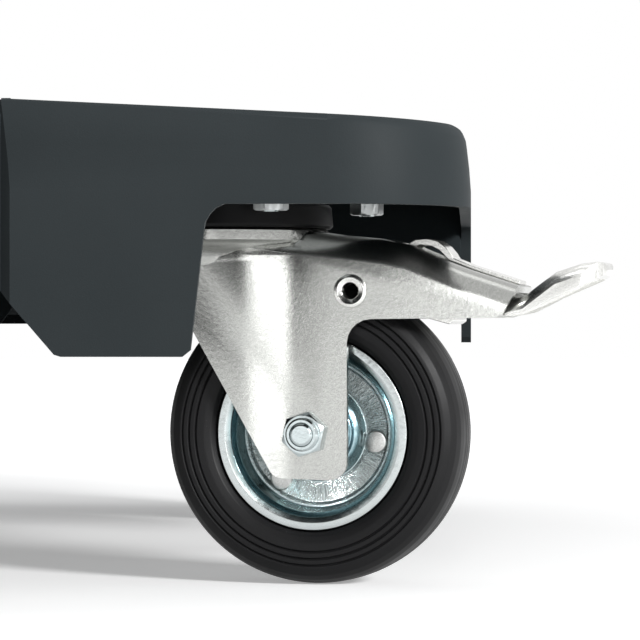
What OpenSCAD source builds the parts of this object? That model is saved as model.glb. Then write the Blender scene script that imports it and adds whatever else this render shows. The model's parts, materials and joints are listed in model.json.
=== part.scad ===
// Castor trolley: a moulded plastic deck with a deep skirt, on four swivel castors, two with foot brakes.
// Millimetres, +Z up. The origin is on the floor below the middle of the deck. X is the width, Y the length.

/* [Deck] */
// Length of the deck, along Y
deck_l = 600; // [580:1:640]
// Width of the deck, along X
deck_w = 400; // [396:1:420]
// Plan radius of the deck's corners
corner_r = 42; // [34:1:50]
// Thickness of the skirt and of the box rib
wall_t = 3.6; // [3:0.1:4.2]
// Thickness of the tray floor
panel_t = 4; // [3:0.5:6]
// Height of the rim above the tray floor where a short side meets its corners
rim_h = 6; // [5:0.5:9]
// Rise of the rim from there to the middle of each side
rim_rise = 4.6; // [2:0.2:7]
// Depth of the castor pads under the tray floor
pad_h = 8; // [7:0.5:12]
// Drop of the skirt below the castors' mounting face
skirt_drop = 8.7; // [7:0.1:9]
// Drop of the skirt's legs below the castors' mounting face
leg_drop = 53.5; // [48:0.5:56]
// Inset of the middle of each short side
recess = 3; // [2:0.5:3.5]
// Half width of the inset middle of each short side
recess_half = 62; // [56:1:66]
// Half width of the hand hole under each short side
grip_half = 44; // [36:1:48]
// Half length of the leg in the middle of each long side, at its foot
side_leg_half = 39; // [32:1:40]
// Drop of the cross ribs below the castors' mounting face
rib_drop = 20.5; // [12:0.5:20.5]

/* [Castor places] */
// Distance of a swivel axis from the middle of the deck, across it
castor_x = 115.4; // [112:0.2:117]
// Distance of a swivel axis from the middle of the deck, along it
castor_y = 157; // [155:1:159]
// Turn of the braked castors from the X axis
brake_turn = 10.4; // [0:0.2:20]
// Turn of the plain castors from the X axis
plain_turn = 90; // [80:1:100]
// Turn of the rectangle of bolts from the X axis
plate_turn = 29; // [0:1:45]

/* [Castor] */
// Height of a castor from the floor to its mounting face
castor_h = 130; // [129:0.5:134]
// Diameter of the tyre
tyre_d = 100; // [97:0.5:101]
// Width of the tyre
tyre_w = 30; // [27:0.5:30]
// Distance from the swivel axis back to the axle
trail = 35; // [34:0.5:37]
// Thickness of the fork's steel
fork_t = 2.5; // [2:0.1:2.8]
// Width over the fork's side plates
fork_w = 39; // [39:0.1:40.5]
// Outer fold radius along the fork's shoulders
fold_r = 8.5; // [7:0.5:10]
// Length of the mounting plate
plate_l = 105; // [100:1:110]
// Width of the mounting plate
plate_w = 85; // [80:1:90]
// Thickness of the mounting plate
plate_t = 2.5; // [2:0.1:3]
// Longer spacing of the mounting bolts
bolt_dx = 80; // [78:0.5:82]
// Shorter spacing of the mounting bolts
bolt_dy = 60; // [58:0.5:62]
// Diameter of the mounting bolts
bolt_d = 6; // [5:0.5:6.5]
// Width of a mounting nut over its flats
nut_af = 10; // [9:0.5:11]
// Height of a mounting nut
nut_h = 5; // [4:0.5:5.5]

/* [Swivel head] */
// Diameter of the kingpin
kingpin_d = 12; // [10:0.5:13]
// Diameter of the swivel balls
ball_d = 7; // [6:0.5:7]
// Number of swivel balls in one head
ball_n = 14; // [8:1:18]
// Radius of the circle of balls
race_r = 28; // [27:0.5:29]
// Outer radius of the dust ring
dust_r = 38.5; // [38:0.5:40]
// Height of the dust ring
dust_h = 8; // [6:0.5:9]

/* [Wheel] */
// Outer radius of the rim's lip
lip_r = 32.3; // [32:0.1:33]
// Distance of the rim's lip from the middle of the wheel
lip_y = 12.4; // [12:0.1:12.8]
// Thickness of the rim's steel
rim_t = 1.8; // [1.4:0.1:2]
// Outer diameter of the hub tube
hub_d = 21; // [20.6:0.1:22]
// Length of the hub tube
hub_l = 32; // [31:0.5:33]
// Diameter of the bearing rollers
roller_d = 2.5; // [2:0.1:2.6]
// Number of bearing rollers
roller_n = 10; // [6:1:12]
// Number of rivets through the rim
rivet_n = 3; // [3:1:6]
// Diameter of a rivet's head
rivet_d = 7.6; // [6:0.2:8]
// Diameter of the axle bolt
axle_d = 8; // [7:0.5:9]
// Width of the axle nut over its flats
axle_af = 13; // [12:0.5:14]

/* [Brake] */
// Swing of the pedal from raised to braking, in degrees
pedal_swing = 8.5; // [6:0.5:8.5]
// Reach of the pedal's tip from the swivel axis
pedal_reach = 132.4; // [128:0.1:134]
// Width of the pedal's tread
pedal_w = 28; // [24:1:30]
// Plan radius of the tread's outer corners
pedal_r = 9; // [5:0.5:12]
// Width of the brake shoe
shoe_w = 24; // [20:1:26]
// Thickness of the pedal's steel
pedal_t = 1.8; // [1.4:0.1:2]
// Bore of the hollow pivot rivets
eyelet_bore = 5; // [4:0.2:5.4]
// Outer diameter of the hollow pivot rivets
eyelet_d = 7.3; // [7:0.1:8]
// Thickness of the spring strip on the arm
strip_t = 1.3; // [1:0.1:1.5]
// Width of the spring strip on the arm
strip_w = 13; // [10:0.5:15]

/* [Hidden] */
$fn = 64;
// Radial clearance of every running fit
run = 0.05;
// Gap between faces that slide or turn past each other
slip = 0.3;
// Overshoot of a cutting shape
over = 1;

corners = ["front_right", "rear_left", "front_left", "rear_right"];

// Heights of the deck, all from the castors' mounting face
panel_z = castor_h + pad_h;
tray_z = panel_z + panel_t;
rim_z = tray_z + rim_h;
rim_top = rim_z + rim_rise;
skirt_z = castor_h - skirt_drop;
leg_z = castor_h - leg_drop;
side_leg_z = leg_z + 2.5;
grip_z = skirt_z - 9;
rib_z = castor_h - rib_drop;
half_w = deck_w / 2;
half_l = deck_l / 2;
straight_w = half_w - corner_r;
straight_l = half_l - corner_r;
rim_from = recess_half + recess;
rim_fall = rim_rise / (straight_w - rim_from);
// How much further the rim bends down at the end of a short side
rim_bend = 0.9;
rim_low = rim_z - rim_fall * corner_r - rim_bend;

// Heights of a castor
axle_z = tyre_d / 2;
plate_z = castor_h - plate_t;
nut_z = plate_z - nut_h;
crown_z = castor_h - 12.3;
crown_under = crown_z - fork_t;
channel_drop = 0.6;
race_top = crown_under - channel_drop - run;
crown_r = 37;
seat_r = 6;
ball_z = crown_z + ball_d / 2 + 0.4;
seat_z = ball_z - 1.2;
race_z = ball_z + 1.2;
dish_z = race_z + plate_t;
kingpin_head_h = castor_h - dish_z - 0.5;
fork_half = fork_w / 2;
fork_in = fork_half - fork_t;
bolt_stub = 0.4;
rivet_r = 19.8;
rim_face = rim_t + 0.4;

// Diameter of the tube that the rollers run on, and the pedal's cheeks between the fork and the tyre
sleeve_d = axle_d + 4;
cheek_out = fork_in - slip;
cheek_in = tyre_w / 2 + slip;

// Places along a castor, from its swivel axis
eyelet_x = trail + 14.6;
eyelet_z = axle_z + 46.8;
arm_end = trail + 69;
arm_z = axle_z + 37.8;
arm_top_end = axle_z + 48.2;
arm_drop = crown_z - arm_top_end;

// Points along an arc about (x, z), from angle a to angle b
function arc(x, z, r, a, b, n = 4) =
    [for (i = [0:n]) let (t = a + (b - a) * i / n) [x + r * cos(t), z + r * sin(t)]];
// The mirror image of a list of points, so that an outline closes on itself
function mirrored(p) = [for (i = [len(p) - 1:-1:0]) [-p[i][0], p[i][1]]];

function braked(c) = c == "front_right" || c == "rear_left";
function side_x(c) = c == "front_right" || c == "rear_right" ? 1 : -1;
function side_y(c) = c == "rear_left" || c == "rear_right" ? 1 : -1;
// Direction in which a castor trails at rest
function castor_turn(c) =
    c == "front_right" ? -brake_turn :
    c == "rear_left" ? 180 - brake_turn :
    c == "front_left" ? -plain_turn : plain_turn;
function bolt_turn(c) = side_x(c) * side_y(c) * plate_turn;

// Puts a castor part, drawn about its swivel axis, in its corner
module at_corner(c) {
    translate([side_x(c) * castor_x, side_y(c) * castor_y, 0]) rotate([0, 0, castor_turn(c)]) children();
}

// Repeats a fastener at a castor's four bolts
module at_bolts(c) {
    translate([side_x(c) * castor_x, side_y(c) * castor_y, 0]) rotate([0, 0, bolt_turn(c)])
        for (sx = [-1, 1], sy = [-1, 1]) translate([sx * bolt_dx / 2, sy * bolt_dy / 2, 0]) children();
}

// Pushes an outline drawn in x and z through a thickness along y, centred on the castor
module across(width) {
    rotate([90, 0, 0]) translate([0, 0, -width / 2]) linear_extrude(height = width) children();
}

// Turns an outline drawn in radius and y about the axle
module about_axle() {
    translate([trail, 0, axle_z]) rotate([-90, 0, 0]) rotate_extrude($fn = 96) children();
}

// The skirt's plan: a rounded rectangle whose short sides step in at the middle
module deck_plan(inset) {
    difference() {
        union() {
            square([deck_w - 2 * inset, deck_l - 2 * corner_r], center = true);
            square([deck_w - 2 * corner_r, deck_l - 2 * inset], center = true);
            for (sx = [-1, 1], sy = [-1, 1])
                translate([sx * straight_w, sy * straight_l]) circle(r = corner_r - inset);
        }
        for (sy = [-1, 1]) scale([1, sy])
            polygon([[-recess_half - recess, half_l - inset], [-recess_half, half_l - inset - recess],
                     [recess_half, half_l - inset - recess], [recess_half + recess, half_l - inset],
                     [recess_half + recess, half_l + over], [-recess_half - recess, half_l + over]]);
    }
}

// The skirt's wall between two heights
module skirt_wall(low, high) {
    translate([0, 0, low]) linear_extrude(height = high - low) difference() {
        deck_plan(0);
        deck_plan(wall_t);
    }
}

// Outline of the two legs and the hand hole of a short side, seen from the end
module end_legs() {
    foot = leg_z;
    half = concat(
        [[grip_half, grip_z], [grip_half + 8, grip_z - 4], [recess_half + 0.5, foot + 18.5], [78, foot + 0.6],
         [80, foot], [115.5, foot], [118, foot + 2]],
        arc(130.3, skirt_z - 8, 8.3, 176, 90, 5),
        [[130.3, skirt_z + over]]);
    polygon(concat(half, mirrored(half)));
}

// Outline of the leg in the middle of a long side
module side_leg() {
    half = concat(
        [[0, side_leg_z], [side_leg_half - 2, side_leg_z], [side_leg_half, side_leg_z + 2]],
        arc(side_leg_half + 12.3, skirt_z - 8, 8.3, 176, 90, 5),
        [[side_leg_half + 12.3, skirt_z + over]]);
    polygon(concat(half, mirrored(half)));
}

// What the falling rim leaves out above one side, along a line of points from its middle outwards
module above_rim(line) {
    half = concat([[rim_from, rim_top]], line, [[line[len(line) - 1][0], rim_top + over]]);
    polygon(concat(half, mirrored(half)));
}

// Cross-section of what the skirt's lean takes off, at a level height all round, from the outer face inwards
module lean_shape() {
    foot = rim_low - 19;
    polygon([[over, foot - 0.5], [0, foot], [-0.5, foot + 7], [-1.2, foot + 13], [-3.2, rim_top + over],
             [over, rim_top + over]]);
}

// The lean along one side whose outer face is at the distance out
module lean_run(out, from, to) {
    translate([from, out, 0]) rotate([90, 0, 90]) linear_extrude(height = to - from) lean_shape();
}

// The lean all round
module skirt_lean() {
    for (m = [0, 1]) mirror([0, m, 0]) {
        for (k = [0, 1]) mirror([k, 0, 0]) {
            lean_run(half_l, recess_half, straight_w);
            translate([straight_w, straight_l, 0]) rotate_extrude(angle = 90) translate([corner_r, 0]) lean_shape();
        }
    }
    for (m = [0, 1]) mirror([m, 0, 0]) rotate([0, 0, -90]) lean_run(half_w, -straight_l, straight_l);
}

// Cross-section of what the rim's rounding takes off, from the rim downwards
rounded = [[-4, 0], [-3.2, -0.5], [-2.5, -1.4], [-1.7, -3.2], [-1.1, -4.6], [over, -4.9]];
module edge_shape() {
    polygon(concat(rounded, [[over, over], [-4, over]]));
}

// The rim's line above a short side: it falls straight, then bends down into the long side's rounded edge
rim_line = concat([[half_w - 9, rim_z - rim_fall * (corner_r - 9)], [half_w - 6, rim_low + 0.8],
                   [half_w - 4.8, rim_low + 0.4]], [for (p = rounded) [half_w + p[0], rim_low + p[1]]]);

// A straight stretch of that rounding, from one point of the rim to another at the distance out
module edge_run(out, from, to) {
    rise = to[1] - from[1];
    run_l = to[0] - from[0];
    translate([from[0], out, from[1]]) rotate([0, -atan2(rise, run_l), 0]) rotate([90, 0, 90])
        linear_extrude(height = norm([rise, run_l])) edge_shape();
}

// The rounding along a side whose outer face is at the distance out, set back in the middle by a step
module side_rounding(out, step, to) {
    for (m = [0, 1]) mirror([m, 0, 0]) {
        edge_run(out, [rim_from, rim_top], to + [0.4, 0]);
        edge_run(out, [rim_from - step - over, rim_top], [rim_from + over, rim_top]);
    }
    edge_run(out - step, [step - rim_from, rim_top], [rim_from - step, rim_top]);
}

// The rounding all round; at a corner it goes on down at the short side's slope
module rim_rounding() {
    for (m = [0, 1]) mirror([0, m, 0]) {
        side_rounding(half_l, recess, [straight_w, rim_z]);
        for (k = [0, 1]) mirror([k, 0, 0]) {
            translate([straight_w, straight_l, rim_z]) rotate([0, atan(rim_fall), 0])
                rotate_extrude(angle = 90) translate([corner_r, 0]) edge_shape();
        }
    }
    for (m = [0, 1]) mirror([m, 0, 0]) rotate([0, 0, -90])
        side_rounding(half_w, 0, [straight_l, rim_low]);
}

// The open box rib under the middle of the tray, with its lower corners cut off
box_x = 31.5;
box_y = 44;
module box_rib() {
    half_x = box_x;
    half_y = box_y;
    foot = castor_h - 44.2;
    outline = [[-half_x, panel_z], [-half_x, foot + 8], [-half_x + 6, foot], [half_x - 6, foot],
               [half_x, foot + 8], [half_x, panel_z]];
    difference() {
        rotate([90, 0, 0]) translate([0, 0, -half_y]) linear_extrude(height = 2 * half_y) polygon(outline);
        translate([0, 0, foot - over + (panel_z - foot + over) / 2])
            cube([2 * (half_x - wall_t), 2 * (half_y - wall_t), panel_z - foot + over], center = true);
    }
}

// Cross ribs in line with the box rib's ends, and shallow ribs from its sides to the short sides
module panel_ribs() {
    shallow = 10;
    for (m = [0, 1]) mirror([0, m, 0]) {
        translate([-half_w + wall_t, box_y - wall_t, rib_z])
            cube([deck_w - 2 * wall_t, wall_t, panel_z - rib_z]);
        for (k = [0, 1]) mirror([k, 0, 0])
            translate([box_x - wall_t, box_y - wall_t, panel_z - shallow])
                cube([wall_t, half_l - box_y - recess, shallow]);
    }
}

// The ribs under the tray, moulded in one with it
module deck_ribs() {
    color([0.26, 0.28, 0.30]) union() {
        box_rib();
        panel_ribs();
    }
}

// The tray's floor with the castors' pads, moulded in one with the skirt
module deck_floor() {
    pocket_d = 2 * bolt_d + 3;
    color([0.26, 0.28, 0.30]) difference() {
        union() {
            translate([0, 0, panel_z]) linear_extrude(height = panel_t) deck_plan(wall_t);
            for (c = corners) translate([side_x(c) * castor_x, side_y(c) * castor_y, castor_h])
                rotate([0, 0, bolt_turn(c)]) translate([-plate_l / 2, -plate_w / 2, 0])
                    cube([plate_l, plate_w, pad_h + panel_t / 2]);
        }
        for (c = corners) at_bolts(c) {
            translate([0, 0, castor_h - over]) cylinder(d = bolt_d + 0.6, h = pad_h + panel_t + 2 * over);
            translate([0, 0, tray_z - bolt_d * 0.7]) cylinder(d = pocket_d, h = bolt_d);
        }
    }
}

// The skirt with its rim and legs
module deck_moulding() {
    color([0.26, 0.28, 0.30]) difference() {
        difference() {
            union() {
                skirt_wall(skirt_z, rim_top);
                intersection() {
                    skirt_wall(leg_z - over, skirt_z);
                    union() {
                        for (m = [0, 1]) mirror([0, m, 0]) translate([0, half_l + over, 0])
                            rotate([90, 0, 0]) linear_extrude(height = 24) end_legs();
                        for (m = [0, 1]) mirror([m, 0, 0]) translate([half_w - 12, 0, 0])
                            rotate([90, 0, 90]) linear_extrude(height = 24) side_leg();
                    }
                }
            }
            for (m = [0, 1]) mirror([0, m, 0]) translate([0, half_l + over, 0]) rotate([90, 0, 0])
                linear_extrude(height = corner_r + over) above_rim(rim_line);
            for (m = [0, 1]) mirror([m, 0, 0]) translate([straight_w, 0, 0]) rotate([90, 0, 90])
                linear_extrude(height = corner_r + over) above_rim([[straight_l, rim_low]]);
            rim_rounding();
        }
        skirt_lean();
    }
}

// Pressed plate with its upper ball race and the dish that holds the kingpin's head
module castor_top_plate() {
    difference() {
        union() {
            translate([0, 0, plate_z]) linear_extrude(height = plate_t) difference() {
                union() {
                    square([plate_l - 16, plate_w], center = true);
                    square([plate_l, plate_w - 16], center = true);
                    for (sx = [-1, 1], sy = [-1, 1])
                        translate([sx * (plate_l / 2 - 8), sy * (plate_w / 2 - 8)]) circle(r = 8);
                }
                circle(r = race_r - seat_r);
            }
            rotate_extrude($fn = 96) polygon([
                [kingpin_d / 2, race_z], [race_r + seat_r - 2, race_z], [race_r + seat_r, race_z + 2],
                [race_r + seat_r, plate_z + over / 2], [race_r - seat_r, plate_z + over / 2],
                [race_r - seat_r, dish_z + 2], [race_r - seat_r - 2, dish_z], [kingpin_d / 2, dish_z]]);
        }
        rotate_extrude($fn = 96) translate([race_r, ball_z]) circle(r = ball_d / 2 + run, $fn = 48);
        for (sx = [-1, 1], sy = [-1, 1]) translate([sx * bolt_dx / 2, sy * bolt_dy / 2, plate_z - over])
            cylinder(d = bolt_d + 0.6, h = plate_t + 2 * over);
    }
}

module castor_top_plates() {
    color([0.72, 0.74, 0.75]) for (c = corners) translate([side_x(c) * castor_x, side_y(c) * castor_y, 0])
        rotate([0, 0, bolt_turn(c)]) castor_top_plate();
}

// Riveted pin that the fork's crown turns on
module castor_kingpins() {
    foot = race_top - 5.4;
    color([0.70, 0.71, 0.72]) for (c = corners)
        translate([side_x(c) * castor_x, side_y(c) * castor_y, 0]) rotate_extrude() polygon([
            [0, foot], [kingpin_d / 2 + 2, foot], [kingpin_d / 2 + 3, foot + 1],
            [kingpin_d / 2 + 3, foot + 2.4],
            [kingpin_d / 2, foot + 2.4], [kingpin_d / 2, dish_z], [kingpin_d / 2 + 4, dish_z],
            [kingpin_d / 2 + 4, dish_z + kingpin_head_h - 1], [kingpin_d / 2 + 3, dish_z + kingpin_head_h],
            [0, dish_z + kingpin_head_h]]);
}

// The balls of the swivel, and the cups riveted under the crowns, which hold the forks up on their pins
module swivel_bearings() {
    foot = race_top - 3;
    flat = fork_in - fold_r + fork_t;
    color([0.80, 0.81, 0.82]) {
        for (c = corners) at_corner(c)
            for (i = [0:ball_n - 1]) rotate([0, 0, 360 * i / ball_n]) translate([race_r, 0, ball_z])
                sphere(d = ball_d, $fn = 32);
        for (c = corners) translate([side_x(c) * castor_x, side_y(c) * castor_y, 0]) rotate_extrude() polygon([
            [kingpin_d / 2, foot], [flat + 2, foot], [flat + 3, foot + 1], [flat + 2.6, race_top - 1],
            [flat, race_top], [kingpin_d / 2, race_top]]);
    }
}

// Round-headed bolts, sunk in the tray and through the plates
module mounting_bolts() {
    head_z = tray_z - bolt_d * 0.7;
    color([0.74, 0.75, 0.76]) for (c = corners) at_bolts(c) {
        translate([0, 0, nut_z - bolt_stub]) cylinder(d = bolt_d, h = head_z - nut_z + bolt_stub);
        translate([0, 0, head_z]) rotate_extrude() polygon([
            [0, 0], [bolt_d, 0], [bolt_d, 0.9], [bolt_d * 0.9, 2], [bolt_d * 0.6, 3], [0, 3.5]]);
    }
}

module mounting_nuts() {
    color([0.76, 0.77, 0.78]) for (c = corners) at_bolts(c) translate([0, 0, nut_z]) difference() {
        intersection() {
            rotate([0, 0, 12]) cylinder(d = nut_af / cos(30), h = nut_h, $fn = 6);
            rotate_extrude() polygon([[0, 0], [nut_af / 2, 0], [nut_af / 2 + 0.9, 0.8],
                                      [nut_af / 2 + 0.9, nut_h], [0, nut_h]]);
        }
        translate([0, 0, -over]) cylinder(d = bolt_d, h = nut_h + 2 * over);
    }
}

// Height of the fork's top at a distance along the castor, by stations from the crown to the arm's end
function crown_line(arm) = arm ? concat(
    [[-trail, crown_z - channel_drop], [trail - 2, crown_z - channel_drop]],
    [for (s = [[11, 0.13], [24, 0.19], [33, 0.30], [43, 0.52], [52, 0.70]])
        [trail + s[0], crown_z - s[1] * arm_drop]],
    [[arm_end + over, arm_top_end]]) :
    [[-trail, crown_z - channel_drop], [trail - 2, crown_z - channel_drop], [trail + 12, crown_z - 4],
     [trail + 22, crown_z - 12]];
// Height of the arm's top at a distance along the castor
function arm_top(x) = lookup(x, crown_line(true));

// Section of the channel: two sides, two folded shoulders and a flat top
function channel_section(x, top, half, r, low) = concat(
    [[x, half, low]],
    [for (i = [0:5]) let (t = 90 * i / 5) [x, half - r + r * cos(t), top - r + r * sin(t)]],
    [for (i = [5:-1:0]) let (t = 90 * i / 5) [x, -(half - r + r * cos(t)), top - r + r * sin(t)]],
    [[x, -half, low]]);

// The channel lofted through the sections at its stations
module channel(stations, drop, half, r, low) {
    rings = [for (s = stations) channel_section(s[0], s[1] - drop, half, r, low)];
    n = len(rings[0]);
    m = len(rings);
    polyhedron(
        points = [for (ring = rings) each ring],
        faces = concat(
            [[for (i = [0:n - 1]) i]],
            [[for (i = [n - 1:-1:0]) (m - 1) * n + i]],
            [for (k = [0:m - 2], i = [0:n - 1]) let (j = (i + 1) % n)
                [k * n + i, (k + 1) * n + i, (k + 1) * n + j]],
            [for (k = [0:m - 2], i = [0:n - 1]) let (j = (i + 1) % n)
                [k * n + i, (k + 1) * n + j, k * n + j]]),
        convexity = 6);
}

// Outline of the fork from the side: the lug round the axle, the sloping front edge, and any arm
function fork_outline(arm) = concat(
    arc(trail - 8.5, axle_z - 10, 4.6, 208, 270, 3),
    arc(trail + 7.4, axle_z - 9.2, 6, 275, 355, 5),
    arm ? concat(
        arc(trail + 21.4, arm_z - 8.2, 8, 178, 90, 5),
        [[arm_end - 7, arm_z + 0.3], [arm_end - 4.6, arm_z + 1], [arm_end - 1, arm_z + 7.2],
         [arm_end, arm_top_end], [arm_end, castor_h]]) :
        [[trail + 13.4, arm_z - 4], [trail + 15, arm_z + 6], [trail + 20, castor_h]],
    [[-trail + 2, castor_h], [-trail + 11, crown_z - 10], [-3.4, axle_z + 33.2]]);

// Section of the shoulder, where the side plates spread to the round crown, and of the hollow inside it
shoulder = [
    [0, crown_z - 1], [crown_r, crown_z - 1], [crown_r, crown_z - 4.2], [crown_r - 0.8, crown_z - 4.8],
    [crown_r - 4, crown_z - 5.4], [fork_half + 6.5, crown_z - 6.2], [fork_half + 3, crown_z - 7.4],
    [fork_half + 0.8, crown_z - 9.4], [fork_half, crown_z - 12.5], [0, crown_z - 12.5]];
shoulder_hollow = [
    [0, crown_under], [fork_in + 1.5, crown_under], [fork_in + 1.5, crown_z - 6],
    [fork_in + 0.6, crown_z - 9], [fork_in, crown_z - 12.5], [0, crown_z - 12.5]];

module fork(arm) {
    stations = crown_line(arm);
    last = stations[len(stations) - 1];
    inner = concat([[-crown_r - over, stations[0][1]]], [for (i = [1:len(stations) - 2]) stations[i]],
                   [[last[0] + over, last[1] - 0.4]]);
    color([0.78, 0.79, 0.79]) difference() {
        union() {
            difference() {
                union() {
                    intersection() {
                        channel(stations, 0, fork_half, fold_r, axle_z - 20);
                        across(fork_w + 2) polygon(fork_outline(arm));
                    }
                    rotate_extrude($fn = 96) polygon(shoulder);
                }
                channel(inner, fork_t, fork_in, fold_r - fork_t, axle_z - 22);
                rotate_extrude($fn = 96) polygon(shoulder_hollow);
            }
            rotate_extrude($fn = 96) polygon([
                [0, crown_under], [crown_r - 3, crown_under], [crown_r - 2, crown_under - 1.6],
                [crown_r, crown_under - 1.6], [crown_r, crown_z - 1], [crown_r - 1, crown_z],
                [race_r + seat_r + 0.4, crown_z], [race_r + seat_r - 0.8, seat_z],
                [race_r - seat_r + 0.8, seat_z], [race_r - seat_r - 0.4, crown_z], [0, crown_z]]);
        }
        rotate_extrude($fn = 96) translate([race_r, ball_z]) circle(r = ball_d / 2 + run, $fn = 48);
        translate([0, 0, crown_under - 4]) cylinder(d = kingpin_d + 2 * run, h = fork_t + 8);
        translate([trail, 0, axle_z]) rotate([90, 0, 0])
            cylinder(d = axle_d + 0.2, h = fork_w + 2 * over, center = true);
        if (arm) {
            translate([eyelet_x, 0, eyelet_z]) rotate([90, 0, 0])
                cylinder(d = eyelet_d, h = fork_w + 2 * over, center = true);
            translate([trail + 29.4, -strip_w / 2 - 1, crown_z - 16]) cube([14, strip_w + 2, 20]);
        }
    }
}

// Plastic ring that keeps dirt out of the ball race
module dust_ring() {
    color([0.06, 0.06, 0.07]) rotate_extrude($fn = 96) polygon([
        [crown_r - 1, crown_z], [dust_r - 1, crown_z], [dust_r, crown_z + 1],
        [dust_r - 0.6, crown_z + dust_h - 1],
        [dust_r - 1.6, crown_z + dust_h], [race_r + seat_r + slip + 0.4, crown_z + dust_h],
        [race_r + seat_r + slip + 0.4, crown_z + dust_h - 1.6], [crown_r - 1.6, crown_z + dust_h - 2.2]]);
}

// The axle bolt: its head on the inner plate and its thread end past the nut on the outer one
module axle_bolt() {
    head_h = 5.3;
    thread_end = fork_half + axle_af / 2 + 2.3;
    color([0.80, 0.81, 0.82]) translate([trail, 0, axle_z]) rotate([90, 0, 0]) {
        translate([0, 0, -fork_half]) rotate_extrude() polygon([
            [0, 0], [axle_d / 2, 0], [axle_d / 2, thread_end + fork_half - 0.9],
            [axle_d / 2 - 0.9, thread_end + fork_half], [0, thread_end + fork_half]]);
        translate([0, 0, -fork_half - head_h]) cylinder(d = axle_af / cos(30), h = head_h, $fn = 6);
    }
}

// Self-locking nut: a hexagon on a washer face, with a round collar
module axle_nut() {
    nut = 6.2;
    collar = 2;
    color([0.82, 0.83, 0.84]) translate([trail, 0, axle_z]) rotate([90, 0, 0]) translate([0, 0, fork_half])
        difference() {
            union() {
                intersection() {
                    rotate([0, 0, 18]) cylinder(d = axle_af / cos(30), h = nut, $fn = 6);
                    rotate_extrude() polygon([[0, 0], [axle_af * 0.58, 0], [axle_af * 0.58, nut - 1.1],
                                              [axle_af / 2 - 0.3, nut], [0, nut]]);
                }
                rotate_extrude() polygon([
                    [0, nut - over], [axle_af * 0.42, nut - over], [axle_af * 0.42, nut + collar - 0.8],
                    [axle_af * 0.37, nut + collar], [0, nut + collar]]);
            }
            translate([0, 0, -over]) cylinder(d = axle_d, h = nut + collar + 2 * over);
        }
}

// Steel tube clamped between the fork's plates, which the rollers run on
module axle_sleeve() {
    color([0.70, 0.71, 0.73]) translate([trail, 0, axle_z]) rotate([90, 0, 0]) difference() {
        cylinder(d = sleeve_d, h = 2 * fork_in, center = true);
        cylinder(d = axle_d + 0.2, h = 2 * fork_in + over, center = true);
    }
}

// Outline of half the tyre's section, from its bore over the grooved side to the tread
groove_r = [39, 41.3, 43.5];
bore_r = 28.9 + rim_t * 0.4;
function tyre_half(half) = concat(
    [[bore_r, 0], [bore_r, lip_y - rim_t - 1.6], [lip_r + 0.4, lip_y - rim_t + 0.2],
     [lip_r + 0.4, half - 2.4],
     [34, half - 1.2], [36.2, half - 0.3], [38.2, half]],
    [for (g = groove_r) each [[g - 0.5, half], [g, half - 0.7], [g + 0.5, half]]],
    [[axle_z - 5.3, half - 0.3], [axle_z - 3.6, half - 1.4], [axle_z - 2, half - 3.2],
     [axle_z - 0.9, half - 5.2],
     [axle_z - 0.3, half - 7.6], [axle_z, half - 10.4], [axle_z, 0]]);

module tyre() {
    half = tyre_half(tyre_w / 2);
    other = [for (i = [len(half) - 2:-1:1]) [half[i][0], -half[i][1]]];
    color([0.10, 0.10, 0.11]) about_axle() polygon(concat(half, other));
}

// Repeats a rivet round the rim, along the axle
shank_r = 2;
module at_rivets() {
    translate([trail, 0, axle_z]) rotate([90, 0, 0])
        for (i = [0:rivet_n - 1])
            rotate([0, 0, -8.7 + 360 * i / rivet_n]) translate([rivet_r, 0, 0]) children();
}

// One pressed half of the rim, its lip towards +y
module rim_half(side) {
    hub = hub_d / 2;
    t = rim_t;
    difference() {
        mirror([0, side < 0 ? 1 : 0, 0]) about_axle() polygon([
            [hub, run], [24.2, run], [25.6, 1], [26.6, 3], [27.1, lip_y - 4.2], [28.4, lip_y - t - 0.6],
            [29.6, lip_y - t], [lip_r - 0.8, lip_y - t], [lip_r, lip_y - 1], [lip_r - 0.6, lip_y],
            [29.4, lip_y], [27.6, lip_y - 0.6], [26.2, lip_y - 2.4], [25.2, 5.4], [24.6, t + 1.4],
            [23.4, rim_face], [16.2, rim_face], [15.2, t + 1.4], [14.2, t + 3.4], [12.6, t + 4.6],
            [hub, t + 5]]);
        at_rivets() cylinder(r = shank_r, h = 4 * rim_face, center = true);
    }
}

module rim_outer() {
    color([0.74, 0.78, 0.79]) rim_half(-1);
}

module rim_inner() {
    color([0.74, 0.78, 0.79]) rim_half(1);
}

// Hub tube through both halves of the rim
module hub() {
    color([0.60, 0.65, 0.68]) translate([trail, 0, axle_z]) rotate([90, 0, 0]) difference() {
        cylinder(d = hub_d, h = hub_l, center = true);
        cylinder(d = sleeve_d + 2 * roller_d + 4 * run, h = hub_l + over, center = true);
    }
}

module hub_rollers() {
    color([0.85, 0.86, 0.87]) translate([trail, 0, axle_z]) rotate([90, 0, 0])
        for (i = [0:roller_n - 1]) rotate([0, 0, 360 * i / roller_n])
            translate([sleeve_d / 2 + roller_d / 2 + run, 0, 0])
                cylinder(d = roller_d, h = hub_l - 4, center = true, $fn = 24);
}

// Rivets that hold the two halves of the rim together
module rim_rivets() {
    head = 1.3;
    half = [[shank_r, 0], [shank_r, rim_face], [rivet_d / 2, rim_face], [rivet_d / 2, rim_face + head - 0.5],
            [rivet_d / 2 - 0.6, rim_face + head], [0, rim_face + head]];
    color([0.80, 0.81, 0.81]) at_rivets() rotate_extrude($fn = 32)
        polygon(concat(half, [for (i = [len(half) - 1:-1:1]) [half[i][0], -half[i][1]]]));
}

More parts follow.
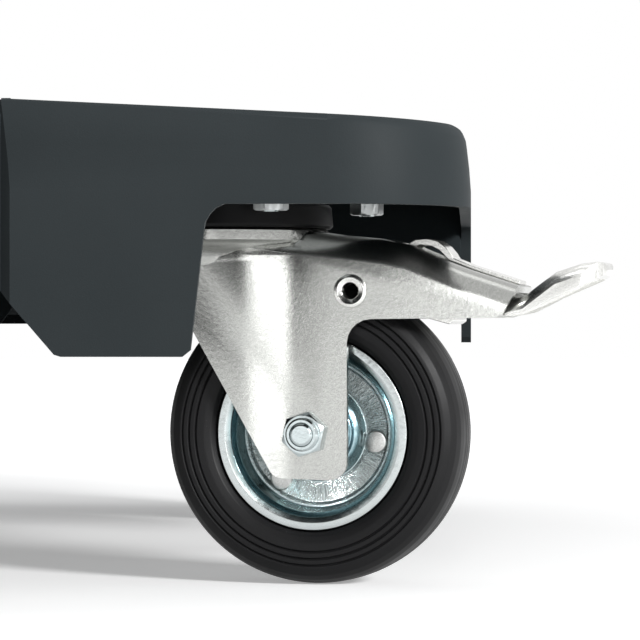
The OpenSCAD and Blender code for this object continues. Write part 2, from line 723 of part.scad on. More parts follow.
// Two hollow rivets, one in each side plate, that the pedal's cheeks turn on
module brake_pivots() {
    color([0.80, 0.81, 0.81]) translate([eyelet_x, 0, eyelet_z]) for (m = [0, 1]) mirror([0, m, 0])
        rotate([90, 0, 0]) rotate_extrude() polygon([
            [eyelet_bore / 2, cheek_in], [eyelet_d / 2, cheek_in], [eyelet_d / 2, fork_half],
            [5.5, fork_half],
            [5.4, fork_half + 0.6], [4.4, fork_half + 1], [eyelet_bore / 2 + 0.3, fork_half + 0.4],
            [eyelet_bore / 2, fork_half - 0.6]]);
}

// Leaf spring: a flat strip on the arm and an arched hook that goes down through the slot
module brake_spring() {
    foot = trail + 44.6;
    bend = trail + 52;
    tail = arm_end - 0.6;
    hook = arm_top(trail + 38);
    color([0.80, 0.81, 0.82]) across(strip_w) polygon(concat(
        [for (x = [foot, bend, tail]) [x, arm_top(x) + run]],
        [for (x = [tail, bend, foot + 1.8]) [x, arm_top(x) + run + strip_t]],
        [[trail + 45.4, hook - 0.4], [trail + 43.6, hook + 1.7], [trail + 41, hook + 3.6],
         [trail + 37.6, hook + 4.4], [trail + 33.6, hook + 4.1], [trail + 31.2, hook + 2.7],
         [trail + 30.4, hook + 0.1], [trail + 32.2, hook - 0.2], [trail + 33.2, hook + 1.5],
         [trail + 35.2, hook + 2.3], [trail + 39, hook + 1.9], [trail + 41.6, hook + 0.5],
         [trail + 43.2, hook - 1.1]]));
}

// Line of the tread's top, from inside the arm out to the tip
web_z = arm_z + 0.7;
web_from = trail + 44;
web_to = trail + 57;
tip_z = arm_z + 18.4;
tread_line = [[web_to - 3, web_z + 4], [arm_end - 4, web_z + 5.2], [arm_end + 1.5, web_z + 6.4],
              [arm_end + 5, web_z + 9.2], [arm_end + 12, web_z + 14.4], [pedal_reach - 8, tip_z - 0.6],
              [pedal_reach - 3, tip_z], [pedal_reach + over, tip_z - 0.8]];
// Side view of the tread: its rolled edges are deep at the arm and run out at the tip
tread_side = concat(
    [[web_to - 3, web_z], [arm_end - 4, web_z + 0.2], [arm_end + 1.6, web_z + 1.2], [arm_end + 11, web_z + 6],
     [pedal_reach - 4, tip_z - 6], [pedal_reach - 1, tip_z - 4.4], [pedal_reach, tip_z - 2.6],
     [pedal_reach - 0.4, tip_z - 1], [pedal_reach - 2.4, tip_z + over], [web_to - 3, tip_z + over]]);

// The tread: a dished plate with rolled edges and a round nose
module tread() {
    fold = 4;
    difference() {
        intersection() {
            channel(tread_line, 0, pedal_w / 2, fold, web_z - 2);
            across(pedal_w + 2) polygon(tread_side);
            translate([0, 0, web_z - 2]) linear_extrude(height = 2 * (tip_z - web_z)) union() {
                translate([web_to - 4, -pedal_w / 2]) square([pedal_reach - pedal_r - web_to + 4, pedal_w]);
                for (sy = [-1, 1]) translate([pedal_reach - pedal_r, sy * (pedal_w / 2 - pedal_r)])
                    circle(r = pedal_r);
                translate([pedal_reach - pedal_r - 1, pedal_r - pedal_w / 2])
                    square([pedal_r + 1, pedal_w - 2 * pedal_r]);
            }
        }
        channel(concat([[tread_line[0][0] - over, tread_line[0][1]]],
                       [for (i = [1:len(tread_line) - 2]) tread_line[i]]),
                pedal_t, pedal_w / 2 - pedal_t, fold - pedal_t, web_z - 4);
    }
}

// Pedal: cheeks inside the fork, a web across them, and a tread that comes out of the arm's end
module brake_pedal() {
    color([0.80, 0.81, 0.81]) difference() {
        union() {
            for (m = [0, 1]) mirror([0, m, 0]) translate([0, -cheek_in, 0]) rotate([90, 0, 0])
                linear_extrude(height = cheek_out - cheek_in) polygon(concat(
                    arc(eyelet_x, eyelet_z, 6, 100, 275, 8),
                    [[web_from - 4, web_z], [web_to, web_z], [web_to, web_z + 4.2],
                     [web_from - 4, web_z + 9]]));
            across(2 * cheek_out) polygon([
                [web_from, web_z], [web_to, web_z], [web_to, web_z + 2], [web_from, web_z + 2]]);
            tread();
        }
        translate([eyelet_x, 0, eyelet_z]) rotate([90, 0, 0])
            cylinder(d = eyelet_d + 2 * run, h = fork_w, center = true);
    }
}

// Curved shoe under the web, pressed on the tread by the pedal
module brake_shoe() {
    shoe_t = 2.3;
    inner_r = axle_z + slip + 0.48 * pedal_swing;
    from = 60;
    to = 44;
    function on_arc(r, t) = [trail + r * cos(t), axle_z + r * sin(t)];
    color([0.78, 0.79, 0.79]) across(shoe_w) polygon(concat(
        [for (i = [0:4]) on_arc(inner_r, from + (to - from) * i / 4)],
        [[web_from + 2, web_z - 2.6], [web_from + 3.4, web_z - 1.6], [web_from + 3.4, web_z],
         [web_from - 0.6, web_z]],
        [for (i = [0:3]) on_arc(inner_r + shoe_t, 47 + (from - 47) * i / 3)]));
}

// The deck and what is fixed to it
deck_moulding();
deck_floor();
deck_ribs();
castor_top_plates();
castor_kingpins();
swivel_bearings();
mounting_bolts();
mounting_nuts();

// The front right castor, with its foot brake
at_corner("front_right") fork(true);  // front_right_fork
at_corner("front_right") dust_ring();  // front_right_dust_ring
at_corner("front_right") axle_bolt();  // front_right_axle_bolt
at_corner("front_right") axle_nut();  // front_right_axle_nut
at_corner("front_right") axle_sleeve();  // front_right_axle_sleeve
at_corner("front_right") tyre();  // front_right_tyre
at_corner("front_right") rim_outer();  // front_right_rim_outer
at_corner("front_right") rim_inner();  // front_right_rim_inner
at_corner("front_right") hub();  // front_right_hub
at_corner("front_right") hub_rollers();  // front_right_hub_rollers
at_corner("front_right") rim_rivets();  // front_right_rim_rivets
at_corner("front_right") brake_pivots();  // front_right_brake_pivots
at_corner("front_right") brake_spring();  // front_right_brake_spring
at_corner("front_right") brake_pedal();  // front_right_brake_pedal
at_corner("front_right") brake_shoe();  // front_right_brake_shoe

// The rear left castor, with its foot brake
at_corner("rear_left") fork(true);  // rear_left_fork
at_corner("rear_left") dust_ring();  // rear_left_dust_ring
at_corner("rear_left") axle_bolt();  // rear_left_axle_bolt
at_corner("rear_left") axle_nut();  // rear_left_axle_nut
at_corner("rear_left") axle_sleeve();  // rear_left_axle_sleeve
at_corner("rear_left") tyre();  // rear_left_tyre
at_corner("rear_left") rim_outer();  // rear_left_rim_outer
at_corner("rear_left") rim_inner();  // rear_left_rim_inner
at_corner("rear_left") hub();  // rear_left_hub
at_corner("rear_left") hub_rollers();  // rear_left_hub_rollers
at_corner("rear_left") rim_rivets();  // rear_left_rim_rivets
at_corner("rear_left") brake_pivots();  // rear_left_brake_pivots
at_corner("rear_left") brake_spring();  // rear_left_brake_spring
at_corner("rear_left") brake_pedal();  // rear_left_brake_pedal
at_corner("rear_left") brake_shoe();  // rear_left_brake_shoe

// The front left castor, without a brake
at_corner("front_left") fork(false);  // front_left_fork
at_corner("front_left") dust_ring();  // front_left_dust_ring
at_corner("front_left") axle_bolt();  // front_left_axle_bolt
at_corner("front_left") axle_nut();  // front_left_axle_nut
at_corner("front_left") axle_sleeve();  // front_left_axle_sleeve
at_corner("front_left") tyre();  // front_left_tyre
at_corner("front_left") rim_outer();  // front_left_rim_outer
at_corner("front_left") rim_inner();  // front_left_rim_inner
at_corner("front_left") hub();  // front_left_hub
at_corner("front_left") hub_rollers();  // front_left_hub_rollers
at_corner("front_left") rim_rivets();  // front_left_rim_rivets

// The rear right castor, without a brake
at_corner("rear_right") fork(false);  // rear_right_fork
at_corner("rear_right") dust_ring();  // rear_right_dust_ring
at_corner("rear_right") axle_bolt();  // rear_right_axle_bolt
at_corner("rear_right") axle_nut();  // rear_right_axle_nut
at_corner("rear_right") axle_sleeve();  // rear_right_axle_sleeve
at_corner("rear_right") tyre();  // rear_right_tyre
at_corner("rear_right") rim_outer();  // rear_right_rim_outer
at_corner("rear_right") rim_inner();  // rear_right_rim_inner
at_corner("rear_right") hub();  // rear_right_hub
at_corner("rear_right") hub_rollers();  // rear_right_hub_rollers
at_corner("rear_right") rim_rivets();  // rear_right_rim_rivets
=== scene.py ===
import json
import math

import bmesh
import bpy
from mathutils import Matrix, Vector


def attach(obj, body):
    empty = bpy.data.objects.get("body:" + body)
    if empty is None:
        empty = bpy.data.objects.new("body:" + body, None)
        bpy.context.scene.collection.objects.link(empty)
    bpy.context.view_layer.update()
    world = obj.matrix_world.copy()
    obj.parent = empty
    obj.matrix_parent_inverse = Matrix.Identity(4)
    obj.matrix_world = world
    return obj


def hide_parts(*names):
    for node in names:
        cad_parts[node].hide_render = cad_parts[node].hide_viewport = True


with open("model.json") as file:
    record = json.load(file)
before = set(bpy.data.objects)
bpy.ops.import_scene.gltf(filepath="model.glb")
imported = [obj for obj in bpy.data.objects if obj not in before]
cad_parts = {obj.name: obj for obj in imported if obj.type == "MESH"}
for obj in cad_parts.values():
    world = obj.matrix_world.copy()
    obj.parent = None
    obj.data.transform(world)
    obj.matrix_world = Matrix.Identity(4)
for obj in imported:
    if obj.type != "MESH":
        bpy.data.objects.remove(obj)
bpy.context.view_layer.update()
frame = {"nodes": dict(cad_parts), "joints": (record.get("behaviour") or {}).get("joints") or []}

MM = 0.001


# The view: level and low in front of the deck, in the plane of its long right side, with a long lens. The light
# is that of a white studio: a key from the front right, which lays the wheels' shadows to the left, a tall strip
# that draws the bright band down the fork, and weak fills from left and above.
EYE = Vector((0.2000, -1.2633, 0.0873))
PHOTO_WIDTH = 640
FOCAL_PIXELS = 3307
AXIS_SHIFT_PIXELS = 151
TURN_LEFT = math.atan(AXIS_SHIFT_PIXELS / FOCAL_PIXELS)
SENSOR_WIDTH = 36

lens = bpy.data.cameras.new("photo_camera")
lens.sensor_width = SENSOR_WIDTH
lens.lens = FOCAL_PIXELS * lens.sensor_width / PHOTO_WIDTH
lens.clip_start = 0.02
camera = bpy.data.objects.new("photo_camera", lens)
camera.location = EYE
camera.rotation_euler = (math.radians(90), 0, TURN_LEFT)
bpy.context.scene.collection.objects.link(camera)
bpy.context.scene.camera = camera
bpy.context.scene.view_settings.view_transform = "Standard"


def linear(hex_colour):
    """Turns an sRGB hex colour into the linear colour that a shader takes."""
    parts = [int(hex_colour[i : i + 2], 16) / 255 for i in (1, 3, 5)]
    return [c / 12.92 if c <= 0.04045 else ((c + 0.055) / 1.055) ** 2.4 for c in parts] + [1.0]


def node(tree, kind, settings=None, links=None):
    """Adds a node: settings holds its properties and socket values, links the outputs that feed its sockets."""
    made = tree.nodes.new(kind)
    for key, value in (settings or {}).items():
        if isinstance(key, str) and key.islower() and hasattr(made, key):
            setattr(made, key, value)
        else:
            made.inputs[key].default_value = value
    for key, source in (links or {}).items():
        tree.links.new(source, made.inputs[key])
    return made


def soft_light(name, place, aim, width, height, watts, colour="#ffffff"):
    """Adds a rectangular soft box at a place, turned to its aim."""
    data = bpy.data.lights.new(name, "AREA")
    data.shape = "RECTANGLE"
    data.size, data.size_y = width, height
    data.energy = watts
    data.color = linear(colour)[:3]
    box = bpy.data.objects.new(name, data)
    box.location = place
    box.rotation_euler = (Vector(aim) - Vector(place)).to_track_quat("-Z", "Y").to_euler()
    bpy.context.scene.collection.objects.link(box)


soft_light("key_box", (1.42, -1.48, 0.78), (0.1, -0.1, 0.06), 0.45, 0.35, 46)
soft_light("strip_box", (0.22, -1.9, 0.42), (0.13, -0.17, 0.36), 0.15, 0.84, 2.8)
soft_light("left_box", (-0.9, -1.6, 1.6), (0.05, -0.1, 0.08), 1.3, 1.0, 7)
soft_light("top_box", (0.3, 0.3, 2.4), (0.0, 0.0, 0.1), 1.6, 1.6, 8)

world = bpy.data.worlds.new("white_studio")
bpy.context.scene.world = world
world.use_nodes = True
sky = world.node_tree
sky.nodes.clear()


def seen_plainly(tree):
    """1 for rays from the camera, a mirror surface or glass, which see the white background itself."""
    ray = node(tree, "ShaderNodeLightPath")
    direct = node(tree, "ShaderNodeMath", {"operation": "MAXIMUM"},
                  {0: ray.outputs["Is Camera Ray"], 1: ray.outputs["Is Transmission Ray"]})
    return node(tree, "ShaderNodeMath", {"operation": "MAXIMUM"},
                {0: direct.outputs[0], 1: ray.outputs["Is Glossy Ray"]})


seen = seen_plainly(sky)
room = node(sky, "ShaderNodeBackground", {"Color": linear("#f0f2f4"), "Strength": 0.25})
white = node(sky, "ShaderNodeBackground", {"Color": (1, 1, 1, 1), "Strength": 1.0})
both = node(sky, "ShaderNodeMixShader", None,
            {0: seen.outputs[0], 1: room.outputs[0], 2: white.outputs[0]})
node(sky, "ShaderNodeOutputWorld", None, {"Surface": both.outputs[0]})


# The floor: a plain white sweep. It is so bright in the photograph that only the object's own soft shadow shows,
# so it glows a little under the object and fully where it runs out into the background.
FLOOR_HALF = 6.0
GLOW_NEAR, GLOW_FAR = 0.34, 1.0
GLOW_FROM, GLOW_TO = 0.28, 1.1


def white_floor():
    """White floor paint: it glows for direct rays, so that it clips to white, and throws little light back up."""
    paint = bpy.data.materials.new("floor_white_paint")
    paint.use_nodes = True
    tree = paint.node_tree
    tree.nodes.clear()
    lit = node(tree, "ShaderNodeBsdfDiffuse", {"Color": linear("#f4f4f4")})
    place = node(tree, "ShaderNodeTexCoord").outputs["Object"]
    away = node(tree, "ShaderNodeVectorMath", {"operation": "LENGTH"}, {0: place})
    rising = node(tree, "ShaderNodeMapRange",
                  {"From Min": GLOW_FROM, "From Max": GLOW_TO, "To Min": GLOW_NEAR, "To Max": GLOW_FAR},
                  {"Value": away.outputs["Value"]})
    glow = node(tree, "ShaderNodeEmission", {"Color": (1, 1, 1, 1)}, {"Strength": rising.outputs[0]})
    bright = node(tree, "ShaderNodeAddShader", None, {0: lit.outputs[0], 1: glow.outputs[0]})
    dull = node(tree, "ShaderNodeBsdfDiffuse", {"Color": linear("#8a8a8a")})
    total = node(tree, "ShaderNodeMixShader", None,
                 {0: seen_plainly(tree).outputs[0], 1: dull.outputs[0], 2: bright.outputs[0]})
    node(tree, "ShaderNodeOutputMaterial", None, {"Surface": total.outputs[0]})
    return paint


floor_mesh = bpy.data.meshes.new("studio_floor")
floor_mesh.from_pydata(
    [(x * FLOOR_HALF, y * FLOOR_HALF, 0) for x, y in ((-1, -1), (1, -1), (1, 1), (-1, 1))], [], [(0, 1, 2, 3)])
floor_mesh.materials.append(white_floor())
studio_floor = bpy.data.objects.new("studio_floor", floor_mesh)
bpy.context.scene.collection.objects.link(studio_floor)


# The deck: one injection moulding in slate-grey polypropylene, held as three pieces, skirt, tray floor and ribs.
# The mould leaves a soft radius on every edge, and the melt's flow leaves faint clouds and broad waves.
DECK_GREY = "#292d2f"
DECK_SHADE = "#24292b"
DECK_PALE = "#33383a"
DECK_EDGE_RADIUS = 0.55 * MM
DECK_GRAIN = 0.5 * MM
DECK_CLOUD = 70 * MM
DECK_WAVE, DECK_WAVE_HEIGHT = 45 * MM, 0.9 * MM


def start_material(name, colour, metallic, roughness):
    """A new material with its principled shader set to one colour, metalness and roughness."""
    made = bpy.data.materials.new(name)
    made.use_nodes = True
    shader = made.node_tree.nodes["Principled BSDF"]
    shader.inputs["Base Color"].default_value = linear(colour)
    shader.inputs["Metallic"].default_value = metallic
    shader.inputs["Roughness"].default_value = roughness
    return made, made.node_tree, shader


def bump(tree, shader, height, distance, strength=1.0, under=None):
    """Raises the surface by a height field over a real distance, on top of another bump if one is given."""
    made = node(tree, "ShaderNodeBump", {"Strength": strength, "Distance": distance}, {"Height": height})
    if under:
        tree.links.new(under.outputs["Normal"], made.inputs["Normal"])
    tree.links.new(made.outputs["Normal"], shader.inputs["Normal"])
    return made


def moulded_polypropylene(name, gloss, dullness, grain_height):
    """Grained polypropylene: matt, with a faint cloudiness in its tone and its dullness from the melt's flow."""
    made, tree, shader = start_material(name, DECK_GREY, 0.0, dullness)
    shader.inputs["IOR"].default_value = 1.49
    shader.inputs["Specular IOR Level"].default_value = gloss
    place = node(tree, "ShaderNodeTexCoord").outputs["Object"]
    clouds = node(tree, "ShaderNodeTexNoise", {"Scale": 1 / DECK_CLOUD, "Detail": 4.0, "Roughness": 0.55},
                  {"Vector": place})
    tone = node(tree, "ShaderNodeMix", {"data_type": "RGBA"}, {"Factor": clouds.outputs["Fac"]})
    tone.inputs[6].default_value = linear(DECK_SHADE)
    tone.inputs[7].default_value = linear(DECK_PALE)
    tree.links.new(tone.outputs[2], shader.inputs["Base Color"])
    grain = node(tree, "ShaderNodeTexNoise", {"Scale": 1 / DECK_GRAIN, "Detail": 2.0}, {"Vector": place})
    waves = node(tree, "ShaderNodeTexNoise", {"Scale": 1 / DECK_WAVE, "Detail": 1.0}, {"Vector": place})
    broad = bump(tree, shader, waves.outputs["Fac"], DECK_WAVE_HEIGHT, 0.5)
    bump(tree, shader, grain.outputs["Fac"], grain_height, 0.55, broad)
    dull = node(tree, "ShaderNodeMapRange",
                {"From Min": 0.3, "From Max": 0.7, "To Min": dullness - 0.06, "To Max": dullness + 0.08},
                {"Value": clouds.outputs["Fac"]})
    tree.links.new(dull.outputs[0], shader.inputs["Roughness"])
    return made


WELD_DISTANCE = 0.003 * MM
FLAT_ANGLE = math.radians(0.6)
SHARP_ANGLE = math.radians(28)


def clean_copy(name, cad_node, edge_radius, material, segments=2):
    """Copies a CAD node's mesh, joins its loose triangles into whole faces and rounds its sharp edges."""
    mesh = frame["nodes"][cad_node].data.copy()
    mesh.name = name
    work = bmesh.new()
    work.from_mesh(mesh)
    bmesh.ops.remove_doubles(work, verts=work.verts, dist=WELD_DISTANCE)
    bmesh.ops.dissolve_limit(work, angle_limit=FLAT_ANGLE, verts=work.verts, edges=work.edges)
    work.to_mesh(mesh)
    work.free()
    mesh.materials.clear()
    mesh.materials.append(material)
    piece = bpy.data.objects.new(name, mesh)
    bpy.context.scene.collection.objects.link(piece)
    mesh.shade_smooth()
    mesh.set_sharp_from_angle(angle=SHARP_ANGLE)
    if edge_radius:
        rounding = piece.modifiers.new("edge_radius", "BEVEL")
        rounding.width = edge_radius
        rounding.segments = segments
        rounding.limit_method = "ANGLE"
        rounding.angle_limit = SHARP_ANGLE
        rounding.use_clamp_overlap = True
        rounding.harden_normals = True
    return piece


# The skirt is finely grained; the tray's floor and ribs are eroded coarser, so that a crate doesn't slide.
fine_grain = moulded_polypropylene("moulded_polypropylene", gloss=0.09, dullness=0.58, grain_height=0.05 * MM)
coarse_grain = moulded_polypropylene("moulded_polypropylene_coarse", gloss=0.02, dullness=0.84, grain_height=0.08 * MM)
for moulded, plastic in (("deck_moulding", fine_grain), ("deck_floor", coarse_grain), ("deck_ribs", coarse_grain)):
    piece = clean_copy(moulded + "_body", moulded, DECK_EDGE_RADIUS, plastic)
    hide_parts(moulded)
    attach(piece, "deck")


# The castor plates and swivel pins: pressed and turned steel, zinc plated, riveted together at the head of each
# castor. They sit in the deck's shadow, so the plating reads grey with little gloss.
PLATE_EDGE_RADIUS = 0.25 * MM
CRYSTAL, CRYSTAL_HEIGHT = 0.8 * MM, 0.03 * MM


def satin_zinc():
    """Barrel-plated zinc: a pale grey metal whose fine crystals scatter the light."""
    made, tree, shader = start_material("zinc_plate_satin", "#b9bcbc", 1.0, 0.42)
    place = node(tree, "ShaderNodeTexCoord").outputs["Object"]
    crystals = node(tree, "ShaderNodeTexNoise", {"Scale": 1 / CRYSTAL, "Detail": 3.0}, {"Vector": place})
    bump(tree, shader, crystals.outputs["Fac"], CRYSTAL_HEIGHT, 0.6)
    return made


zinc_satin = satin_zinc()
for group in ("castor_top_plates", "castor_kingpins"):
    piece = clean_copy(group + "_plated", group, PLATE_EDGE_RADIUS, zinc_satin)
    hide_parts(group)
    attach(piece, "deck")


# What belongs to every castor: where each stands, how it is turned at rest, and its own coordinates.
# A castor's own frame has its swivel axis at the origin, x along its trail and y along its axle.
CASTOR_PLACE = (115.4 * MM, 157.0 * MM)
TRAIL = 35 * MM
AXLE_HEIGHT = 50 * MM
CORNERS = {"front_right": (1, -1), "rear_left": (-1, 1), "front_left": (-1, -1), "rear_right": (1, 1)}
BRAKED = ("front_right", "rear_left")


def castor_matrix(corner):
    """Carries a castor's own frame to its corner at rest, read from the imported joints."""
    joints = {j["name"]: j for j in frame["joints"]}
    swivel = joints[corner + "_swivel_turn"]["pos_m"]
    axle = joints[corner + "_wheel_spin"]["pos_m"]
    turn = math.atan2(axle[1] - swivel[1], axle[0] - swivel[0])
    return Matrix.Translation((swivel[0], swivel[1], 0)) @ Matrix.Rotation(turn, 4, "Z")


def mark_own_place(mesh, corner):
    """Stores each point's place in its castor's own frame, for patterns that follow the castor."""
    back = castor_matrix(corner).inverted()
    own = mesh.attributes.new("castor_place", "FLOAT_VECTOR", "POINT")
    flat = [value for v in mesh.vertices for value in back @ v.co]
    own.data.foreach_set("vector", flat)


# The forks: zinc-plated pressed steel, folded over at the shoulders. The plating has a fine sparkle, and the
# press leaves the side plates very slightly bowed, which draws the light into one upright band.
FORK_EDGE = 0.5 * MM
SPARKLE, SPARKLE_HEIGHT = 0.35 * MM, 0.008 * MM
PEEL, PEEL_HEIGHT = 1.5 * MM, 0.025 * MM
PLATING_CLOUD = 14 * MM
DRAW_LEAN = 0.1
DRAW_FROM, DRAW_TO = 11 * MM, 31 * MM
DRAW_DEPTH = 1.7 * MM
DRAW_TURN, DRAW_BEND = 0.03, 8 * MM


def zinc_pressing(name="zinc_pressing", light="#b4b5b2", dark="#9b9c99", roughness=0.2, drawn=True):
    """Zinc-plated sheet: a warm grey metal whose crystals sparkle; drawn sheet is bowed in a band."""
    made, tree, shader = start_material(name, light, 1.0, roughness)
    own = node(tree, "ShaderNodeAttribute", {"attribute_name": "castor_place"}).outputs["Vector"]
    crystals = node(tree, "ShaderNodeTexNoise", {"Scale": 1 / SPARKLE, "Detail": 4.0, "Roughness": 0.75},
                    {"Vector": own})
    peel = node(tree, "ShaderNodeTexNoise", {"Scale": 1 / PEEL, "Detail": 2.0}, {"Vector": own})
    cloud = node(tree, "ShaderNodeTexNoise", {"Scale": 1 / PLATING_CLOUD, "Detail": 3.0}, {"Vector": own})
    speck = node(tree, "ShaderNodeMapRange", {"From Min": 0.38, "From Max": 0.62}, {"Value": crystals.outputs["Fac"]})
    tone = node(tree, "ShaderNodeMix", {"data_type": "RGBA"}, {"Factor": speck.outputs[0]})
    tone.inputs[6].default_value = linear(dark)
    tone.inputs[7].default_value = linear(light)
    tree.links.new(tone.outputs[2], shader.inputs["Base Color"])
    gloss = node(tree, "ShaderNodeMapRange",
                 {"From Min": 0.3, "From Max": 0.7, "To Min": roughness - 0.02, "To Max": roughness + 0.04},
                 {"Value": cloud.outputs["Fac"]})
    tree.links.new(gloss.outputs[0], shader.inputs["Roughness"])
    under = None
    if drawn:
        along = node(tree, "ShaderNodeSeparateXYZ", None, {0: own}).outputs["X"]
        fold = node(tree, "ShaderNodeMapRange",
                    {"interpolation_type": "SMOOTHSTEP", "From Min": DRAW_FROM, "From Max": DRAW_TO,
                     "To Min": 0.0, "To Max": -DRAW_DEPTH}, {"Value": along})
        past = node(tree, "ShaderNodeMath", {"operation": "SUBTRACT", 1: (DRAW_FROM + DRAW_TO) / 2}, {0: along})
        bend = node(tree, "ShaderNodeMath", {"operation": "SMOOTH_MAX", 1: 0.0, 2: DRAW_BEND}, {0: past.outputs[0]})
        turned_off = node(tree, "ShaderNodeMath", {"operation": "MULTIPLY", 1: -DRAW_TURN}, {0: bend.outputs[0]})
        leaning = node(tree, "ShaderNodeMath", {"operation": "MULTIPLY_ADD", 1: -DRAW_LEAN},
                       {0: along, 2: fold.outputs[0]})
        height = node(tree, "ShaderNodeMath", {"operation": "ADD"}, {0: leaning.outputs[0], 1: turned_off.outputs[0]})
        under = bump(tree, shader, height.outputs[0], 1.0)
    under = bump(tree, shader, peel.outputs["Fac"], PEEL_HEIGHT, 1.0, under)
    bump(tree, shader, crystals.outputs["Fac"], SPARKLE_HEIGHT, 1.0, under)
    return made


fork_steel = zinc_pressing()
brake_steel = zinc_pressing("zinc_pressing_bright", "#f0f0ed", "#c9c9c6", 0.22, drawn=False)


def dress(corner, part, body, material, edge_radius, segments=2):
    """Dresses one CAD part of a castor: a clean copy with rounded edges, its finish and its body."""
    source = f"{corner}_{part}"
    piece = clean_copy(source + "_finish", source, edge_radius, material, segments)
    mark_own_place(piece.data, corner)
    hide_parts(source)
    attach(piece, f"{corner}_{body}")


for corner in CORNERS:
    dress(corner, "fork", "swivel", fork_steel, FORK_EDGE)


# The brakes, on the two braked castors: pedal, shoe, spring strip and hollow pivot rivets, all bright zinc. The
# thicker the sheet or wire, the larger the radius that the press leaves on its edges.
PEDAL_EDGE, SHOE_EDGE, SPRING_EDGE, PIVOT_EDGE = 0.5 * MM, 0.4 * MM, 0.3 * MM, 0.2 * MM

for corner in BRAKED:
    dress(corner, "brake_pedal", "pedal", brake_steel, PEDAL_EDGE, 3)
    dress(corner, "brake_shoe", "pedal", brake_steel, SHOE_EDGE)
    dress(corner, "brake_spring", "swivel", brake_steel, SPRING_EDGE)
    dress(corner, "brake_pivots", "swivel", brake_steel, PIVOT_EDGE)


# The axle bolts, self-locking nuts and the sleeves between them: bright zinc, cold forged, with softly rounded
# corners that catch small highlights.
BOLT_EDGE, NUT_EDGE, SLEEVE_EDGE = 0.35 * MM, 0.45 * MM, 0.2 * MM
FORGED_WAVE, FORGED_HEIGHT = 2.5 * MM, 0.09 * MM


def bright_fastener():
    """Bright zinc on forged steel: smooth and mirror-like, with faint waves left by the forging."""
    made, tree, shader = start_material("zinc_fastener", "#bcc5c6", 1.0, 0.16)
    own = node(tree, "ShaderNodeTexCoord").outputs["Object"]
    waves = node(tree, "ShaderNodeTexNoise", {"Scale": 1 / FORGED_WAVE, "Detail": 3.0}, {"Vector": own})
    bump(tree, shader, waves.outputs["Fac"], FORGED_HEIGHT, 0.6)
    return made


fastener_zinc = bright_fastener()
for corner in CORNERS:
    dress(corner, "axle_bolt", "swivel", fastener_zinc, BOLT_EDGE, 3)
    dress(corner, "axle_nut", "swivel", fastener_zinc, NUT_EDGE, 3)
    dress(corner, "axle_sleeve", "swivel", fastener_zinc, SLEEVE_EDGE)


# What repeats on the object is set out by Geometry Nodes: copies of a small part on the points of a guide, each
# turned as the guide says. Each result is made a plain mesh, for one body.
def small_part(name, points, faces, material):
    """A small part's mesh, in its own frame, with its finish."""
    mesh = bpy.data.meshes.new(name)
    mesh.from_pydata(points, [], faces)
    work = bmesh.new()
    work.from_mesh(mesh)
    bmesh.ops.remove_doubles(work, verts=work.verts, dist=0.002 * MM)
    bmesh.ops.recalc_face_normals(work, faces=work.faces)
    work.to_mesh(mesh)
    work.free()
    mesh.materials.append(material)
    return bpy.data.objects.new(name, mesh)


def turned_points(profile, steps):
    """Points and faces of a closed profile of (radius, height) turned about Z; radius 0 closes on the axis."""
    count = len(profile)
    points, faces = [], []
    for k in range(steps):
        angle = 2 * math.pi * k / steps
        points += [(r * math.cos(angle), r * math.sin(angle), h) for r, h in profile]
    for k in range(steps):
        for i in range(count - 1):
            a, b = k * count + i, ((k + 1) % steps) * count + i
            faces.append((a, b, b + 1, a + 1))
    return points, faces


def copies_tree(name, material):
    """Geometry Nodes: instances of a part on the guide's points, turned by the guide's spin attribute."""
    tree = bpy.data.node_groups.new(name, "GeometryNodeTree")
    tree.is_modifier = True
    tree.interface.new_socket("Geometry", in_out="INPUT", socket_type="NodeSocketGeometry")
    tree.interface.new_socket("Part", in_out="INPUT", socket_type="NodeSocketObject")
    tree.interface.new_socket("Geometry", in_out="OUTPUT", socket_type="NodeSocketGeometry")
    given = node(tree, "NodeGroupInput")
    part = node(tree, "GeometryNodeObjectInfo", {"As Instance": True}, {"Object": given.outputs["Part"]})
    spin = node(tree, "GeometryNodeInputNamedAttribute", {"data_type": "FLOAT_VECTOR", "Name": "spin"})
    placed = node(tree, "GeometryNodeInstanceOnPoints", None,
                  {"Points": given.outputs["Geometry"], "Instance": part.outputs["Geometry"],
                   "Rotation": spin.outputs["Attribute"]})
    real = node(tree, "GeometryNodeRealizeInstances", None, {0: placed.outputs[0]})
    coated = node(tree, "GeometryNodeSetMaterial", {"Material": material}, {"Geometry": real.outputs[0]})
    node(tree, "NodeGroupOutput", None, {"Geometry": coated.outputs[0]})
    return tree


def set_out(name, part, places, turns, material, smooth=35):
    """Sets copies of a part at places with Euler turns, through Geometry Nodes, and returns one plain mesh piece."""
    guide_mesh = bpy.data.meshes.new(name + "_guide")
    guide_mesh.from_pydata([tuple(p) for p in places], [], [])
    spin = guide_mesh.attributes.new("spin", "FLOAT_VECTOR", "POINT")
    spin.data.foreach_set("vector", [v for t in turns for v in t])
    guide = bpy.data.objects.new(name, guide_mesh)
    bpy.context.scene.collection.objects.link(guide)
    bpy.context.scene.collection.objects.link(part)
    tree = copies_tree(name + "_copies", material)
    modifier = guide.modifiers.new("copies", "NODES")
    modifier.node_group = tree
    sockets = {s.name: s.identifier for s in tree.interface.items_tree if s.in_out == "INPUT"}
    modifier[sockets["Part"]] = part
    bpy.context.view_layer.update()
    seen_by = bpy.context.evaluated_depsgraph_get()
    result = bpy.data.meshes.new_from_object(guide.evaluated_get(seen_by))
    result.name = name
    guide.modifiers.clear()
    guide.data = result
    bpy.data.objects.remove(part)
    if "spin" in result.attributes:
        result.attributes.remove(result.attributes["spin"])
    result.shade_smooth()
    result.set_sharp_from_angle(angle=math.radians(smooth))
    return guide


